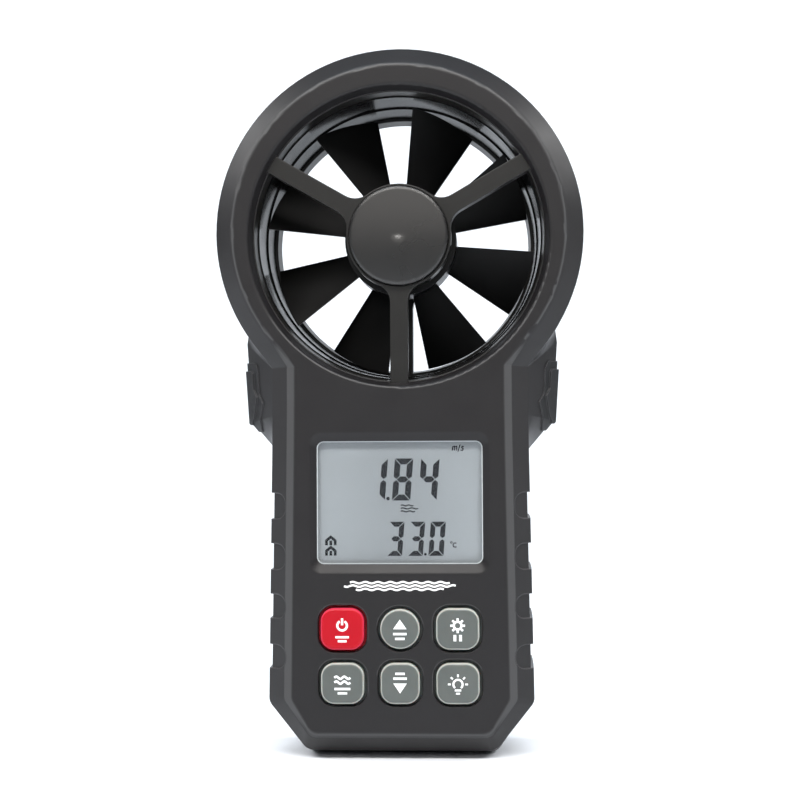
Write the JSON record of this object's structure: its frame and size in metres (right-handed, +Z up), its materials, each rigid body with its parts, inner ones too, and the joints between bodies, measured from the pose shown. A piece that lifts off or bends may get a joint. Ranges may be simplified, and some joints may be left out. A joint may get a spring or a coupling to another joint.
{
  "type": "vane anemometer",
  "caption": "Hand-held wind meter: spinning vane in a guarded ring on top, display and keys on the handle, battery door and tripod thread behind.",
  "frame": {"origin": "on the flat base, under the middle of the overall box", "axes": "+Z up the handle towards the vane ring, -Y out of the face with the display and keys, +X to the right as seen from that face"},
  "size_m": [0.0936, 0.038, 0.18],
  "materials": {
    "case_front": "fine satin texture",
    "case_rear": "fine satin texture",
    "pad_elastomer": "soft matte elastomer",
    "guard_plastic": "satin moulding",
    "hub_cap_plastic": "semi-gloss, slightly domed",
    "duct_plastic": "semi-gloss, turned look",
    "bearing_brass": "machined",
    "impeller_plastic": "semi-gloss black",
    "magnet_nickel": "plated",
    "axle_steel": "ground",
    "chip_plastic": "moulded epoxy",
    "lead_black": "flexible insulation",
    "window_clear": "clear hard-coated pane",
    "lcd_glass": "reflective display, pale grey-blue",
    "frame_plastic": "white moulding",
    "light_guide": "milky acrylic",
    "silicone_gray": "soft silicone",
    "board_green": "solder mask",
    "buzzer_plastic": "moulded",
    "bead_epoxy": "dipped bead",
    "door_plastic": "fine satin texture",
    "door_rubber": "thin ribbed sheet",
    "pin_steel": "drawn wire",
    "battery_wrap": "thin can with a plain printed sleeve",
    "terminal_nickel": "plated",
    "lead_red": "flexible insulation",
    "screw_steel": "black oxide",
    "insert_brass": "turned",
    "key_red": "semi-gloss, slightly see-through",
    "key_gray": "semi-gloss, slightly see-through",
    "contact_carbon": "conductive"
  },
  "bodies": {
    "housing": {"front_case": "case_front", "rear_case": "case_rear", "side_pad_left": "pad_elastomer", "side_pad_right": "pad_elastomer", "front_guard": "guard_plastic", "rear_guard": "guard_plastic", "hub_cap": "hub_cap_plastic", "duct_liner_front": "duct_plastic", "duct_liner_rear": "duct_plastic", "front_bearing": "bearing_brass", "rear_bearing": "bearing_brass", "hall_sensor": "chip_plastic", "sensor_lead": "lead_black", "display_window": "window_clear", "lcd_panel": "lcd_glass", "lcd_frame": "frame_plastic", "backlight_panel": "light_guide", "elastomer_connector": "silicone_gray", "main_board": "board_green", "board_components": "chip_plastic", "buzzer": "buzzer_plastic", "temperature_sensor": "bead_epoxy", "keypad_mat": "silicone_gray", "hinge_pin": "pin_steel", "battery": "battery_wrap", "battery_terminals": "terminal_nickel", "battery_connector": "lead_black", "battery_leads": "lead_red", "case_screws": "screw_steel", "board_screws": "screw_steel", "tripod_insert": "insert_brass"},
    "impeller": {"impeller": "impeller_plastic", "impeller_axle": "axle_steel", "impeller_magnets": "magnet_nickel"},
    "battery_door": {"battery_door": "door_plastic", "door_pad": "door_rubber"},
    "key_power": {"key_power": "key_red", "pill_power": "contact_carbon"},
    "key_up": {"key_up": "key_gray", "pill_up": "contact_carbon"},
    "key_set": {"key_set": "key_gray", "pill_set": "contact_carbon"},
    "key_mode": {"key_mode": "key_gray", "pill_mode": "contact_carbon"},
    "key_down": {"key_down": "key_gray", "pill_down": "contact_carbon"},
    "key_light": {"key_light": "key_gray", "pill_light": "contact_carbon"}
  },
  "joints": [
    {"name": "impeller_spin", "type": "hinge", "parent": "housing", "child": "impeller", "pos_m": [0, 0, 0.132], "axis": [0, -1, 0], "continuous": true},
    {"name": "battery_door_hinge", "type": "hinge", "parent": "housing", "child": "battery_door", "pos_m": [0, 0.0174, 0.012], "axis": [-1, 0, 0], "range_deg": [0, 80]},
    {"name": "key_power_press", "type": "slide", "parent": "housing", "child": "key_power", "axis": [0, 1, 0], "range_m": [0, 0.0009], "stiffness_N_per_m": 1500, "springref_m": -0.0003},
    {"name": "key_up_press", "type": "slide", "parent": "housing", "child": "key_up", "axis": [0, 1, 0], "range_m": [0, 0.0009], "stiffness_N_per_m": 1500, "springref_m": -0.0003},
    {"name": "key_set_press", "type": "slide", "parent": "housing", "child": "key_set", "axis": [0, 1, 0], "range_m": [0, 0.0009], "stiffness_N_per_m": 1500, "springref_m": -0.0003},
    {"name": "key_mode_press", "type": "slide", "parent": "housing", "child": "key_mode", "axis": [0, 1, 0], "range_m": [0, 0.0009], "stiffness_N_per_m": 1500, "springref_m": -0.0003},
    {"name": "key_down_press", "type": "slide", "parent": "housing", "child": "key_down", "axis": [0, 1, 0], "range_m": [0, 0.0009], "stiffness_N_per_m": 1500, "springref_m": -0.0003},
    {"name": "key_light_press", "type": "slide", "parent": "housing", "child": "key_light", "axis": [0, 1, 0], "range_m": [0, 0.0009], "stiffness_N_per_m": 1500, "springref_m": -0.0003}
  ]
}
